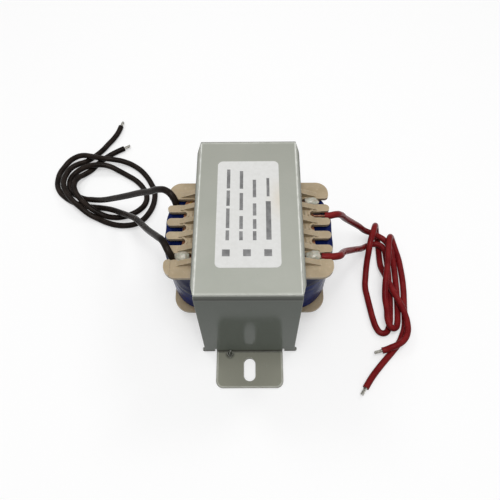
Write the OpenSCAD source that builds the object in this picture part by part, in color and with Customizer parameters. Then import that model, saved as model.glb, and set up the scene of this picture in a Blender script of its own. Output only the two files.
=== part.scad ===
// Laminated transformer with a folded sheet-steel channel frame and four flying leads.
// Millimetres. X runs across the lamination stack, Y from foot to foot, Z up.
// The origin is on the mounting plane, under the centre of the core.

/* [Core] */
// Width of the outer limbs and of both yokes, half the width of the centre limb
limb_w = 11; // [10:0.5:13]
// Width of the winding windows along Y
window_w = 11; // [9:0.5:13]
// Height of the winding windows
window_h = 33; // [30:0.5:40]
// Thickness of one steel sheet
sheet_t = 0.47; // [0.4:0.01:0.48]
// Distance from one sheet to the next, varnish film included
sheet_pitch = 0.5; // [0.49:0.01:0.52]
// Number of sheets in the stack
sheet_count = 76; // [60:2:80]

/* [Frame] */
// Thickness of the frame's sheet steel
frame_t = 1.2; // [1:0.1:1.6]
// Gap between the core and the frame's top face
core_fit = 0.2; // [0.18:0.01:0.4]
// Gap between the core and the frame's legs
leg_fit = 0.8; // [0.3:0.1:0.9]
// How far the frame's legs are wider than the stack
leg_extra = 0.5; // [0:0.1:1]
// Gap between the stack and the side skirts
skirt_fit = 0.3; // [0.2:0.05:0.6]
// Outside radius of the frame's folded edges
fold_r = 1.8; // [1.4:0.1:1.8]
// Height of the side skirts, from the top face down
skirt_h = 8; // [6:0.5:9]
// Distance from each leg to the full-width part of the skirts
skirt_set = 6; // [3:0.5:8]
// Width of each foot
foot_w = 28.5; // [26:0.5:30]
// How far each foot runs out from its leg
foot_l = 15.9; // [15:0.1:18]
// Corner radius of the feet
foot_r = 3; // [1:0.5:4]
// Width of the mounting slots
slot_w = 4.9; // [4:0.1:5.5]
// Overall length of the mounting slots
slot_l = 9.9; // [8:0.1:11]
// Distance from the leg to the near end of its slot
slot_set = 3.2; // [3:0.1:4]
// Length of the ears folded under the core
ear_l = 5.5; // [4:0.5:8]
// Width of the relief cuts between foot and ears
relief_w = 0.7; // [0.5:0.1:1.5]
// Height of the relief cuts
relief_h = 4; // [3:0.5:6]

/* [Bobbin] */
// Running gap between the bobbin and the core
bobbin_fit = 0.3; // [0.2:0.05:0.5]
// Wall of the bobbin's tube
tube_wall = 1.2; // [0.8:0.1:1.5]
// Thickness of the lower flange
flange_t = 1.1; // [0.8:0.1:1.4]
// Thickness of the comb beside the stack
comb_t = 2.4; // [1.8:0.1:3]
// Thickness of the comb's fingers and wings
finger_t = 1.4; // [1:0.1:1.6]
// How far the comb reaches out of the stack
comb_out = 13.3; // [12:0.1:15]
// How far the lower flange reaches out of the stack
lower_out = 13; // [11:0.1:15]
// Corner radius of the comb's wings
wing_r = 5; // [2:0.5:7]
// Distance from one wire slot to the next
slot_pitch = 6.2; // [5.8:0.1:6.6]
// Width of the wire slots
wire_slot_w = 2.8; // [2.4:0.1:3]
// Distance from the skirt to the inner end of the middle three slots
slot_root = 3.6; // [2.8:0.1:5]
// Height of the gussets where they meet the skirt
gusset_h = 3; // [1:0.1:4]
// Width of the gussets
gusset_w = 2.2; // [1.4:0.1:3]
// Length of the gussets along X
gusset_l = 6.6; // [4:0.1:7]
// Width of the raised rim along the near left wing's outer edge
rim_w = 2.4; // [1.5:0.1:3]
// Height of that rim
rim_h = 0.5; // [0.3:0.1:0.8]
// Distance from the skirt to the inner end of the two outermost slots
slot_side_root = 0.4; // [0.2:0.1:2]
// Width of the slot mouths that hold a lead
mouth_w = 3.1; // [3:0.1:3.4]
// Distance from the comb's tip to the centre of a mouth's inner end
mouth_l = 3; // [2:0.1:3.5]
// Width of the lips round the slots' inner ends
lip_w = 0.7; // [0.4:0.1:1]
// Height of the lips round the slots' inner ends
lip_h = 0.6; // [0.3:0.1:1]
// Corner radius of the bobbin's tube
tube_r = 1; // [0.5:0.1:1.5]
// Half axis of the lower flange's round corners along X
lower_rx = 7; // [4:0.5:12]
// Half axis of the lower flange's round corners along Y
lower_ry = 7; // [4:0.5:16]

/* [Coil] */
// Gap between one layer of the coil and the next
layer_fit = 0.05; // [0.02:0.01:0.1]
// Build of the primary winding
primary_build = 3.4; // [3:0.1:3.6]
// Build of the tape between the windings
tape_build = 0.5; // [0.3:0.1:0.6]
// Build of the outer tape beside the limbs
wrap_build = 0.8; // [0.5:0.1:1]
// Gap between the outer tape and the outer limbs
wrap_fit = 1; // [0.3:0.1:1.5]
// How far the outer tape bulges past the tips of the comb
wrap_over = 1.1; // [0:0.1:1.6]
// Half axis of the outer tape's round corners along X
wrap_rx = 14.4; // [12:0.2:16]
// Half axis of the outer tape's round corners along Y
wrap_ry = 17; // [14:0.5:18]

/* [Leads] */
// Outer diameter of the insulated leads
lead_d = 2.8; // [2.4:0.1:2.8]
// Diameter of the tinned strands at the leads' ends
strand_d = 1.4; // [1:0.1:1.8]
// Diameter of the magnet wire
wire_d = 0.8; // [0.5:0.05:1]
// Length of the bare strands beyond the insulation
strand_l = 4; // [3:0.5:8]
// Distance from the skirt to the place where the magnet wire comes up out of the coil
wire_rise = 5.2; // [4:0.1:6.7]
// Depth of the magnet wire below the top of the comb
wire_sink = 0.95; // [0.6:0.05:1.6]
// Distance from the comb's tip to the start of the first red lead
lead_in_1 = 2; // [1.6:0.1:2.8]
// Distance from the comb's tip to the start of the second red lead
lead_in_2 = 4.4; // [3.8:0.1:4.6]
// Diameter of the glue dots
glue_d = 5.2; // [4:0.1:6]
// Distance from the skirt to the middle of each glue dot
glue_out = 4.3; // [3.2:0.1:5]
// How far the glue dots reach down into their slots
glue_sink = 1.2; // [0.5:0.1:2]

/* [Label] */
// Width of the label, across the stack
label_w = 23.8; // [20:0.2:30]
// Length of the label, from foot to foot
label_l = 47.2; // [40:0.2:50]
// Thickness of the label
label_t = 0.1; // [0.05:0.05:0.2]
// Corner radius of the label
label_r = 2; // [0.5:0.5:4]
// How far the label lies off the middle of the top face, away from the near foot
label_y = 0.4; // [-5:0.1:5]

/* [Hidden] */
$fn = 48;
eps = 0.01;

stack_w = sheet_count * sheet_pitch;
lam_w = 4 * limb_w + 2 * window_w;
core_h = window_h + 2 * limb_w;
core_z = frame_t;
window_z0 = core_z + limb_w;
window_z1 = window_z0 + window_h;
frame_h = core_z + core_h + core_fit + frame_t;
leg_in = lam_w / 2 + leg_fit;
leg_out = leg_in + frame_t;
leg_w = stack_w + leg_extra;
skirt_in = stack_w / 2 + skirt_fit;
skirt_out = skirt_in + frame_t;

tube_x = stack_w / 2 + bobbin_fit;
tube_y = limb_w + bobbin_fit;
flange_y = limb_w + window_w - bobbin_fit;
lower_z0 = window_z0 + bobbin_fit / 2;
lower_z1 = lower_z0 + flange_t;
comb_z0 = window_z1 - bobbin_fit / 2 - flange_t;
comb_z1 = comb_z0 + comb_t;
comb_x0 = skirt_out + bobbin_fit;
comb_tip = stack_w / 2 + comb_out;

// Places of the slots that the leads come out of, from the near side (-2) to the far side (2).
right_leads = [-2, 1];
left_leads = [-2, 2];

// Corners of the leads' section
lead_sides = 8;

coil_z0 = lower_z1 + layer_fit;
coil_z1 = comb_z0 - layer_fit;
// Outer faces of the coil's layers, counted from the bobbin's tube. The secondary fills the window.
primary_out = layer_fit + primary_build;
tape_out = primary_out + layer_fit + tape_build;
secondary_out = window_w - bobbin_fit - tube_wall - wrap_fit - wrap_build - layer_fit;

// Middle lines of the leads, from the comb to the end of the insulation.
brown_route_1 = [
  [-29.5, 12.4, 44.1], [-29.5, 12.4, 46.4], [-30.5, 13.8, 48.4], [-33, 16.2, 48.9], [-36.8, 18.6, 46.6],
  [-41.5, 21.2, 41.5], [-46.5, 24.2, 36.4], [-54.5, 28.5, 28], [-62.5, 32.7, 20], [-71, 37.5, 11.5],
  [-78.5, 42, 5.2], [-84, 45, 1.8], [-88, 47, 1.6], [-91, 49.7, 1.6], [-92.5, 53.5, 1.6],
  [-92.5, 57.5, 1.6], [-90.5, 61, 1.8], [-86.5, 62.8, 3.4], [-82, 63.6, 4.7], [-77, 64, 4.7],
  [-72.5, 63.6, 3.8], [-68, 62, 2.2], [-63.5, 59.5, 1.6], [-58.5, 56, 1.6], [-54.5, 51.5, 1.6],
  [-52.2, 46.5, 1.6], [-52.4, 42, 1.6], [-54.8, 38.3, 1.6], [-58.5, 35.7, 1.6], [-63, 34, 1.6],
  [-67, 33.7, 1.6], [-71.5, 34.6, 1.6], [-77, 36.8, 3.2], [-81.5, 39.8, 4.7], [-85, 43.5, 4.7],
  [-87.8, 47.5, 4.7], [-89, 52, 4.7], [-88, 56.5, 3.6], [-85.5, 59.8, 2.2], [-82.5, 63, 1.6],
  [-80, 66.5, 1.6], [-77, 70, 1.6], [-74, 72.7, 1.6], [-70.5, 75.2, 1.6], [-67, 77.3, 1.6],
];
// Second brown lead, from the near left corner of the comb.
brown_route_2 = [
  [-29.5, -12.4, 44.1], [-29.5, -12.4, 46.6], [-30.5, -11.2, 48.5], [-32.6, -7.2, 48.5], [-35.7, -3, 45.1],
  [-41, 4.5, 37], [-46.5, 13.2, 28], [-52, 21.5, 20], [-57.5, 27.5, 13.5], [-63, 32.4, 8.5],
  [-68.5, 36.5, 4.6], [-73.5, 39, 2], [-78, 39.8, 1.6], [-82.5, 40.4, 1.6], [-86, 41.6, 1.6],
  [-89.5, 43.2, 1.6], [-93.5, 46, 1.6], [-96.5, 49, 1.6], [-98.5, 53, 1.6], [-99, 57.5, 1.6],
  [-98.5, 61.5, 1.6], [-97, 65, 1.6], [-94.8, 67.9, 2.4], [-91.5, 69.7, 3.6], [-87.5, 70.2, 4.7],
  [-83, 69.7, 4.7], [-78.5, 68.6, 4.7], [-73, 68, 4.4], [-65.5, 67.5, 2.6], [-59, 64.5, 1.6],
  [-54, 59.5, 1.6], [-50.5, 54, 1.6], [-48.5, 49.5, 1.6], [-48, 45, 1.6], [-48.5, 40.5, 1.6],
  [-50.2, 36, 1.6], [-53, 32, 1.6], [-56.5, 29.8, 1.6], [-60.5, 29, 1.6], [-65, 29.2, 1.6],
  [-70, 30.6, 1.6], [-75, 32.8, 2], [-79.5, 34.8, 3.2], [-84, 38, 4.7], [-88.7, 42.4, 4.7],
  [-92.5, 47.5, 4.7], [-94.6, 53, 4.7], [-94, 58, 4.7], [-92, 62.2, 4.6], [-89.3, 65.5, 3.4],
  [-86.5, 68, 2], [-84, 70.2, 1.6], [-81.5, 72.5, 1.6], [-78.5, 76, 1.6], [-76, 80, 1.6],
  [-73.5, 84, 1.6], [-71.5, 88.5, 1.6], [-70.5, 92.5, 1.6],
];
// First red lead, from the second slot on the right.
red_route_1 = [
  [30.3, 6.2, 45.4], [32.2, 6.2, 45.4], [34.8, 7, 45], [37.4, 9, 41.6], [40.3, 12, 34.5], [44, 15, 27],
  [50, 18.5, 16.8], [54.8, 20.6, 9], [58, 20.9, 6.6], [61, 19.9, 5.5], [64, 17.8, 5],
  [66.3, 14.3, 3.8], [67.3, 10, 2.2], [67.5, 5, 1.6], [67.4, 0, 1.6], [67.2, -5, 1.6],
  [66.9, -10, 1.6], [66.5, -15, 1.6], [66, -19.5, 1.6], [65.3, -22.8, 2.2], [63.9, -25.4, 3.4],
  [61.9, -25.8, 4.7], [60.7, -23, 5], [60.9, -17, 4.7], [60.7, -12, 5], [61, -7, 6.5], [61.8, -2, 7.8],
  [63, 3.5, 8], [64, 9, 8.2], [64.7, 13.5, 8.4], [65.6, 17.2, 8], [67, 19.3, 5.6], [68.3, 18.4, 2.8],
  [69.4, 14.5, 1.6], [70.2, 9.5, 1.6], [70.5, 4, 1.6], [70.6, -1, 1.6], [70.4, -6, 1.6],
  [70, -10.5, 1.6], [69.5, -15, 1.6], [69.1, -20, 1.6], [68.4, -24.5, 1.6], [66.8, -28.5, 1.6],
  [64.8, -32, 1.6], [61.8, -35.5, 1.6], [58.5, -39, 1.6], [55, -42.8, 1.6], [51.5, -47, 1.6],
  [48.5, -51.3, 1.6],
];
// Second red lead, from the near right corner of the comb.
red_route_2 = [
  [27.9, -12.4, 45.4], [31.5, -12.4, 45.4], [34.6, -11.8, 44.9], [36.5, -8.8, 41], [39, -4, 34],
  [43, 0.5, 27], [48, 6.8, 16.5], [52.5, 12.2, 7.8], [55.8, 15, 5], [58.7, 15.9, 4.8], [61.4, 15.3, 4.8], [63.4, 13.2, 4.2],
  [64.3, 10, 2.4], [64.5, 5.5, 1.6], [64.3, 0, 1.6], [63.9, -5.5, 1.6], [63.7, -10, 1.6],
  [63.3, -14, 1.6], [62.8, -18, 1.6], [62.2, -22, 1.6], [61.4, -24.8, 1.6], [59.8, -27, 1.6],
  [57.6, -27, 1.6], [56, -24.8, 1.6], [55, -21, 1.6], [54.1, -15, 1.6], [53.5, -10, 1.6],
  [53, -5, 1.8], [53.5, 0, 2.8], [54.2, 5.5, 5.2], [55, 10, 8.6], [56, 14.5, 10.8], [57.5, 18.5, 11.4],
  [58.7, 22, 10.6], [59.8, 24.2, 8], [60.6, 24.4, 4.8], [61.1, 22.8, 2.4], [61.4, 20, 1.6],
  [61.4, 16, 1.6], [61.3, 12, 1.6], [61.2, 8.5, 1.6], [61.3, 5, 2.2], [61.9, 1.2, 3.9], [63, -3, 4.7],
  [64.4, -7.5, 4.7], [66, -11.5, 4.7], [67.5, -15.5, 4.7], [68.5, -19.5, 4.7], [69, -24, 4.7],
  [68.5, -28, 4.7], [66.5, -31.5, 4.7], [63.5, -33.6, 4.7], [60.6, -34.7, 4.2],
  [58.8, -35.2, 3.2], [57, -35.6, 2.9],
];

// Outline of a coil layer: half sizes along X and Y, and the half axes of its round corners.
function outline(hx, hy, rx, ry, steps = 12) = [
  for (q = [0:3], i = [0:steps])
    let (a = 90 * q + 90 * i / steps, sx = (q == 0 || q == 3) ? 1 : -1, sy = (q < 2) ? 1 : -1)
    [sx * (hx - rx) + rx * cos(a), sy * (hy - ry) + ry * sin(a)]
];

// ---- Core ----

module e_profile() {
  difference() {
    translate([-lam_w / 2, 0]) square([lam_w, limb_w + window_h]);
    for (s = [-1, 1])
      translate([s * (limb_w + window_w / 2) - window_w / 2, limb_w]) square([window_w, window_h + eps]);
  }
}

// One sheet standing in the YZ plane, flipped top to bottom on every other place.
module place_sheet(i) {
  flip = i % 2;
  translate([(i - sheet_count / 2 + 0.5) * sheet_pitch - sheet_t / 2, 0, core_z])
    translate([0, 0, flip * core_h]) mirror([0, 0, flip])
      rotate([90, 0, 90]) linear_extrude(sheet_t) children();
}

module e_laminations() {
  color([0.32, 0.33, 0.33])
    for (i = [0:sheet_count - 1]) place_sheet(i) e_profile();
}

module i_laminations() {
  color([0.36, 0.37, 0.37])
    for (i = [0:sheet_count - 1])
      place_sheet(i) translate([-lam_w / 2, limb_w + window_h]) square([lam_w, limb_w]);
}

// ---- Frame ----

// A rectangle standing on its lower edge, with its two upper corners rounded.
module arch(half, height, r) {
  union() {
    translate([-half, -eps]) square([2 * half, height - r + eps]);
    translate([-(half - r), 0]) square([2 * (half - r), height]);
    for (s = [-1, 1]) translate([s * (half - r), height - r]) circle(r);
  }
}

// Top face and both legs, folded as one strap.
module strap() {
  rotate([90, 0, 90]) linear_extrude(leg_w, center = true) difference() {
    arch(leg_out, frame_h, fold_r);
    translate([0, -1]) arch(leg_in, frame_h - frame_t + 1, fold_r - frame_t);
  }
}

// Side skirts, folded down along the top face and cut at a slant towards the legs.
module skirts() {
  y0 = leg_out - skirt_set;
  difference() {
    intersection() {
      rotate([90, 0, 0]) linear_extrude(2 * leg_in, center = true) difference() {
        arch(skirt_out, frame_h, fold_r);
        translate([0, -1]) arch(skirt_in, frame_h - frame_t + 1, fold_r - frame_t);
      }
      linear_extrude(frame_h) polygon([
        [skirt_out, -y0], [skirt_out, y0], [leg_w / 2, leg_in], [-leg_w / 2, leg_in],
        [-skirt_out, y0], [-skirt_out, -y0], [-leg_w / 2, -leg_in], [leg_w / 2, -leg_in],
      ]);
    }
    rotate([90, 0, 90]) linear_extrude(3 * skirt_out, center = true) polygon([
      [-leg_out, -1], [leg_out, -1], [leg_out, frame_h - fold_r], [leg_in, frame_h - fold_r],
      [y0, frame_h - skirt_h], [-y0, frame_h - skirt_h], [-leg_in, frame_h - fold_r],
      [-leg_out, frame_h - fold_r],
    ]);
  }
}

// Fold at the foot of a leg: the sheet comes down behind the plane y = 0 and turns towards +Y.
module bottom_fold(length, width, r_in) {
  r_out = r_in + frame_t;
  rotate([90, 0, 90]) linear_extrude(width, center = true) {
    translate([r_in, 0]) square([length - r_in, frame_t]);
    translate([-frame_t, r_out]) square([frame_t, relief_h - r_out + eps]);
    intersection() {
      translate([-frame_t, 0]) square(r_out + eps);
      translate([r_in, r_out]) difference() {
        circle(r_out);
        circle(r_in);
      }
    }
  }
}

module foot() {
  difference() {
    translate([0, leg_out, 0]) bottom_fold(foot_l, foot_w, fold_r - frame_t);
    for (s = [-1, 1])
      translate([s * (foot_w / 2 - foot_r), leg_out + foot_l - foot_r, -1])
        difference() {
          translate([s > 0 ? 0 : -foot_r - 1, 0, 0]) cube([foot_r + 1, foot_r + 1, frame_t + 2]);
          cylinder(r = foot_r, h = frame_t + 2);
        }
    y0 = leg_out + slot_set + slot_w / 2;
    for (y = [y0, y0 + slot_l - slot_w])
      translate([0, y, -1]) cylinder(d = slot_w, h = frame_t + 2);
    translate([-slot_w / 2, y0, -1]) cube([slot_w, slot_l - slot_w, frame_t + 2]);
  }
}

module ears() {
  ear_w = (leg_w - foot_w) / 2 - relief_w;
  for (s = [-1, 1])
    translate([s * (leg_w - ear_w) / 2, leg_in, 0]) mirror([0, 1, 0]) bottom_fold(ear_l, ear_w, core_fit);
}

module channel_frame() {
  color([0.62, 0.64, 0.59]) {
    difference() {
      strap();
      for (s = [-1, 1])
        translate([-leg_w, s > 0 ? leg_in - 1 : -leg_out - 1, -1]) cube([2 * leg_w, frame_t + 2, relief_h + 1]);
    }
    skirts();
    for (s = [0, 1]) mirror([0, s, 0]) {
      foot();
      ears();
    }
  }
}

// ---- Bobbin ----

// What a rounding of radius r takes off a convex corner at [0, 0], with the body at x < 0, y < 0.
module corner_waste(r) {
  difference() {
    translate([-r, -r]) square(r + 1);
    translate([-r, -r]) circle(r);
  }
}

// Plan of the comb beyond one end of the stack, drawn towards +X.
// lead_places holds the places, -2 to 2, of the slots that open wider for a lead.
module comb_plan(lead_places) {
  tip = comb_tip;
  finger_w = slot_pitch - wire_slot_w;
  wing_y = 2 * slot_pitch + wire_slot_w / 2;
  difference() {
    union() {
      translate([tube_x, -flange_y]) square([tip - finger_w / 2 - tube_x, 2 * flange_y]);
      for (s = [-1, 1]) {
        translate([0, s * 1.5 * slot_pitch]) finger(tip, finger_w);
        translate([0, s * 0.5 * slot_pitch]) finger(tip, finger_w);
        mirror([0, s > 0 ? 0 : 1]) translate([tube_x, wing_y]) square([tip - tube_x, flange_y - wing_y]);
      }
    }
    for (s = [0, 1]) mirror([0, s]) {
      translate([tip, flange_y]) corner_waste(wing_r);
      translate([tip, wing_y]) mirror([0, 1]) corner_waste(finger_w / 2);
    }
    for (i = [-2:2]) translate([0, i * slot_pitch]) {
      root = comb_x0 + (abs(i) == 2 ? slot_side_root : slot_root) + wire_slot_w / 2;
      translate([root, 0]) circle(d = wire_slot_w);
      translate([root, -wire_slot_w / 2]) square([tip, wire_slot_w]);
    }
    for (i = lead_places) translate([tip - mouth_l, i * slot_pitch]) {
      circle(d = mouth_w);
      translate([0, -mouth_w / 2]) square([tip, mouth_w]);
    }
  }
}

module finger(tip, width) {
  translate([tip - width / 2, 0]) circle(d = width);
  translate([tube_x, -width / 2]) square([tip - width / 2 - tube_x, width]);
}

// Wedge that stiffens a finger, high beside the skirt and running out along the finger.
module gusset() {
  rotate([90, 0, 0]) linear_extrude(gusset_w, center = true) polygon([
    [comb_x0, comb_z1 - eps], [comb_x0 + gusset_l, comb_z1 - eps],
    [comb_x0 + gusset_l, comb_z1 + 0.1 * gusset_h], [comb_x0, comb_z1 + gusset_h],
  ]);
}

// Raised lip round the inner end of a wire slot, with short ribs behind it.
module slot_lip() {
  x = comb_x0 + slot_root + wire_slot_w / 2;
  translate([x, 0, comb_z1 - eps]) linear_extrude(lip_h) difference() {
    circle(d = wire_slot_w + 2 * lip_w);
    circle(d = wire_slot_w);
    translate([0, -slot_pitch]) square(2 * slot_pitch);
  }
  for (i = [1:2])
    translate([comb_x0 + slot_root - lip_w - i * 2 * lip_w, -wire_slot_w / 2, comb_z1 - eps])
      cube([lip_w, wire_slot_w, lip_h]);
}

// Raised rim along the outer edge of the wing at the near end.
module wing_rim() {
  tip = comb_tip;
  wing_y = 2 * slot_pitch + mouth_w / 2;
  translate([0, 0, comb_z1 - eps]) linear_extrude(rim_h + eps) mirror([0, 1]) difference() {
    translate([tip - rim_w, wing_y]) square([rim_w, flange_y - wing_y]);
    translate([tip, flange_y]) corner_waste(wing_r);
    translate([tip, wing_y]) mirror([0, 1]) corner_waste((slot_pitch - wire_slot_w) / 2);
  }
}

module comb(lead_places) {
  difference() {
    translate([0, 0, comb_z0]) linear_extrude(comb_t) comb_plan(lead_places);
    translate([comb_x0 + slot_side_root, -flange_y - 1, comb_z0 - 1])
      cube([comb_tip, 2 * flange_y + 2, comb_t - finger_t + 1]);
  }
  for (i = [-1.5:1.5]) translate([0, i * slot_pitch, 0]) gusset();
  for (s = [-1, 1])
    translate([0, s * (2 * slot_pitch + wire_slot_w / 2 + gusset_w / 2 + lip_w), 0]) gusset();
  for (i = [-1:1]) translate([0, i * slot_pitch, 0]) slot_lip();
}

module bobbin() {
  color([0.74, 0.67, 0.54]) difference() {
    union() {
      translate([0, 0, lower_z0]) linear_extrude(comb_z0 + eps - lower_z0)
        polygon(outline(tube_x + tube_wall, tube_y + tube_wall, tube_r, tube_r));
      translate([0, 0, lower_z0]) linear_extrude(flange_t)
        polygon(outline(stack_w / 2 + lower_out, flange_y, lower_rx, lower_ry));
      translate([-tube_x - eps, -flange_y, comb_z0]) cube([2 * (tube_x + eps), 2 * flange_y, flange_t]);
      comb(right_leads);
      mirror([1, 0, 0]) {
        comb(left_leads);
        wing_rim();
      }
    }
    translate([-tube_x, -tube_y, lower_z0 - 1]) cube([2 * tube_x, 2 * tube_y, comb_z1 - lower_z0 + 2]);
  }
}

// ---- Coil ----

// A layer of the coil between two builds, both counted from the bobbin's tube.
module layer(inner, outer) {
  translate([0, 0, coil_z0]) linear_extrude(coil_z1 - coil_z0) difference() {
    polygon(outline(tube_x + tube_wall + outer, tube_y + tube_wall + outer, tube_r + outer, tube_r + outer));
    polygon(outline(tube_x + tube_wall + inner, tube_y + tube_wall + inner, tube_r + inner, tube_r + inner));
  }
}

module primary_winding() {
  color([0.66, 0.36, 0.18]) layer(layer_fit, primary_out);
}

module interwinding_tape() {
  color([0.72, 0.62, 0.3]) layer(primary_out + layer_fit, tape_out);
}

module secondary_winding() {
  color([0.7, 0.38, 0.19]) layer(tape_out + layer_fit, secondary_out);
}

module outer_tape() {
  inner = secondary_out + layer_fit;
  x = tube_x + tube_wall + inner;
  y = tube_y + tube_wall + inner;
  color([0.07, 0.1, 0.36]) translate([0, 0, coil_z0]) linear_extrude(coil_z1 - coil_z0) difference() {
    polygon(outline(comb_tip + wrap_over, y + wrap_build, wrap_rx, wrap_ry));
    polygon(outline(x, y, tube_r + inner, tube_r + inner));
  }
}

module rating_label() {
  color([0.93, 0.93, 0.92]) translate([0, label_y, frame_h]) linear_extrude(label_t) difference() {
    square([label_w, label_l], center = true);
    for (s = [0, 1], t = [0, 1]) mirror([s, 0]) mirror([0, t])
      translate([label_w / 2, label_l / 2]) corner_waste(label_r);
  }
}

// ---- Leads ----

function unit(v) = v / norm(v);
// Direction of a route at its point i, from the points on both sides.
function heading(route, i) =
  unit(route[min(i + 1, len(route) - 1)] - route[max(i - 1, 0)]);
// A level vector square to a direction.
function side_of(d) = unit(cross(d, abs(d[2]) > 0.99 ? [0, 1, 0] : [0, 0, 1]));

// One ring of the tube round point i, lead_sides corners that touch the diameter d.
function ring(route, i, d) =
  let (dir = heading(route, i), s = side_of(dir), u = cross(s, dir))
  [for (k = [0:lead_sides - 1])
    let (a = 360 * (k + 0.5) / lead_sides)
    route[i] + d / 2 * (cos(a) * s + sin(a) * u)];

module swept_tube(route, d) {
  n = lead_sides;
  last = len(route) - 1;
  polyhedron(
    points = [for (i = [0:last]) each ring(route, i, d)],
    faces = concat(
      [[for (k = [0:n - 1]) k]],
      [for (i = [0:last - 1], k = [0:n - 1])
        let (a = i * n + k, b = i * n + (k + 1) % n) each [[a, a + n, b], [b, a + n, b + n]]],
      [[for (k = [n - 1:-1:0]) last * n + k]]
    ),
    convexity = 10
  );
}

// Bare tinned strands, from the end of the insulation straight on.
module strands(route) {
  last = len(route) - 1;
  dir = unit(route[last] - route[last - 1]);
  tilt = acos(dir[2]);
  turn = atan2(dir[1], dir[0]);
  color([0.7, 0.7, 0.68]) translate(route[last]) rotate([0, tilt, turn]) cylinder(d = strand_d, h = strand_l);
}

module brown_lead_1() { color([0.13, 0.1, 0.09]) swept_tube(brown_route_1, lead_d); }
module brown_lead_2() { color([0.13, 0.1, 0.09]) swept_tube(brown_route_2, lead_d); }
module red_lead_1() { color([0.5, 0.07, 0.08]) swept_tube(red_route_1, lead_d); }
module red_lead_2() { color([0.5, 0.07, 0.08]) swept_tube(red_route_2, lead_d); }

module brown_strands_1() { strands(brown_route_1); }
module brown_strands_2() { strands(brown_route_2); }
module red_strands_1() { strands(red_route_1); }
module red_strands_2() { strands(red_route_2); }

// End of the magnet wire: up from the coil through a slot, then out to the start of a red lead.
// inset is the distance from the comb's tip to that start.
module wire_end(place, inset) {
  x = comb_x0 + wire_rise;
  z = comb_z1 - wire_sink;
  color([0.72, 0.4, 0.2]) translate([x, place * slot_pitch, 0]) {
    translate([0, 0, coil_z1]) cylinder(d = wire_d, h = z - coil_z1);
    translate([0, 0, z]) sphere(d = wire_d);
    translate([0, 0, z]) rotate([0, 90, 0]) cylinder(d = wire_d, h = comb_tip - inset - x);
  }
}

module magnet_wire_end_1() { wire_end(right_leads[1], lead_in_1); }
module magnet_wire_end_2() { wire_end(right_leads[0], lead_in_2); }

// Drop of hot-melt glue over an outermost slot, side -1 or 1, at the near (-1) or far (1) corner.
module glue_dot(side, end) {
  color([0.86, 0.86, 0.8]) difference() {
    intersection() {
      translate([side * (comb_x0 + glue_out), end * 2 * slot_pitch, comb_z1]) sphere(d = glue_d);
      translate([-2 * comb_tip, -2 * comb_tip, comb_z1 - glue_sink])
        cube([4 * comb_tip, 4 * comb_tip, comb_t + glue_d]);
    }
    mirror([side > 0 ? 0 : 1, 0, 0]) comb(side > 0 ? right_leads : left_leads);
    magnet_wire_end_2();
  }
}

module glue_dot_1() { glue_dot(1, 1); }
module glue_dot_2() { glue_dot(1, -1); }
module glue_dot_3() { glue_dot(-1, -1); }

channel_frame();
e_laminations();
i_laminations();
bobbin();
primary_winding();
interwinding_tape();
secondary_winding();
outer_tape();
rating_label();
brown_lead_1();
brown_lead_2();
red_lead_1();
red_lead_2();
brown_strands_1();
brown_strands_2();
red_strands_1();
red_strands_2();
magnet_wire_end_1();
magnet_wire_end_2();
glue_dot_1();
glue_dot_2();
glue_dot_3();
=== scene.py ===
"""Laminated chassis transformer: its looks, its leads, the light and the camera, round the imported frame."""
import math
import random

import bmesh
import bpy
from mathutils import Matrix, Vector, noise


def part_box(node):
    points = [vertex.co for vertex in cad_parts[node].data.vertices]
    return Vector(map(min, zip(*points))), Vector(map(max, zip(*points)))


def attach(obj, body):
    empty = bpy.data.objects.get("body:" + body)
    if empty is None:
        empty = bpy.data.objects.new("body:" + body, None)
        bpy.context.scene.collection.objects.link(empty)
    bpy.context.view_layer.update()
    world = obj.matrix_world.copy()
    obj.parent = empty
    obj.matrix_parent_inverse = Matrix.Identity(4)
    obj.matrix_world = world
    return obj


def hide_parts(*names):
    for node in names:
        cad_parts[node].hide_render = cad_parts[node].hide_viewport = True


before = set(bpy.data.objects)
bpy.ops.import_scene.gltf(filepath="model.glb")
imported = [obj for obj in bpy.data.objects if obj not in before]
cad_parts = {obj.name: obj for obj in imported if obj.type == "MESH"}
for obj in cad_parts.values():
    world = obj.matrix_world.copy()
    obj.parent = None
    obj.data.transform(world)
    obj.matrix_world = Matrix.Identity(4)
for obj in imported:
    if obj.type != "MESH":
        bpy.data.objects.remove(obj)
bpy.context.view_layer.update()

MM = 0.001


# ---- Camera ----

def add_camera():
    """Looks down at the near foot, a little from the right, as a hand-held camera does."""
    elevation, azimuth, roll = math.radians(61.10), math.radians(0.99), math.radians(-1.16)
    target = Vector((0.42, -0.78, 30)) * MM
    distance = 226.7 * MM
    back = Vector((
        math.sin(azimuth) * math.cos(elevation),
        -math.cos(azimuth) * math.cos(elevation),
        math.sin(elevation),
    ))
    level_right = (-back).cross(Vector((0, 0, 1))).normalized()
    level_up = level_right.cross(-back)
    right = level_right * math.cos(roll) + level_up * math.sin(roll)
    up = level_up * math.cos(roll) - level_right * math.sin(roll)
    lens = bpy.data.cameras.new("camera")
    lens.sensor_width = 36
    lens.lens = 39.03
    lens.clip_start = 0.01
    camera = bpy.data.objects.new("camera", lens)
    camera.matrix_world = Matrix((right, up, back)).transposed().to_4x4()
    camera.location = target + back * distance
    bpy.context.scene.collection.objects.link(camera)
    bpy.context.scene.camera = camera


add_camera()


# ---- Sizes, in millimetres: some read from the imported frame, the rest given ----

def box_mm(node):
    """Lowest and highest corner of a CAD node."""
    low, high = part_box(node)
    return Vector(low) / MM, Vector(high) / MM


FRAME_HIGH = box_mm("channel_frame")[1]
LABEL_LOW, LABEL_HIGH = box_mm("rating_label")
TAPE_LOW, TAPE_HIGH = box_mm("outer_tape")
COIL_HIGH = box_mm("secondary_winding")[1]
CORE_END = box_mm("e_laminations")[1].y
# The comb's flat upper face.
COMB_TOP = 46.35
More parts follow.
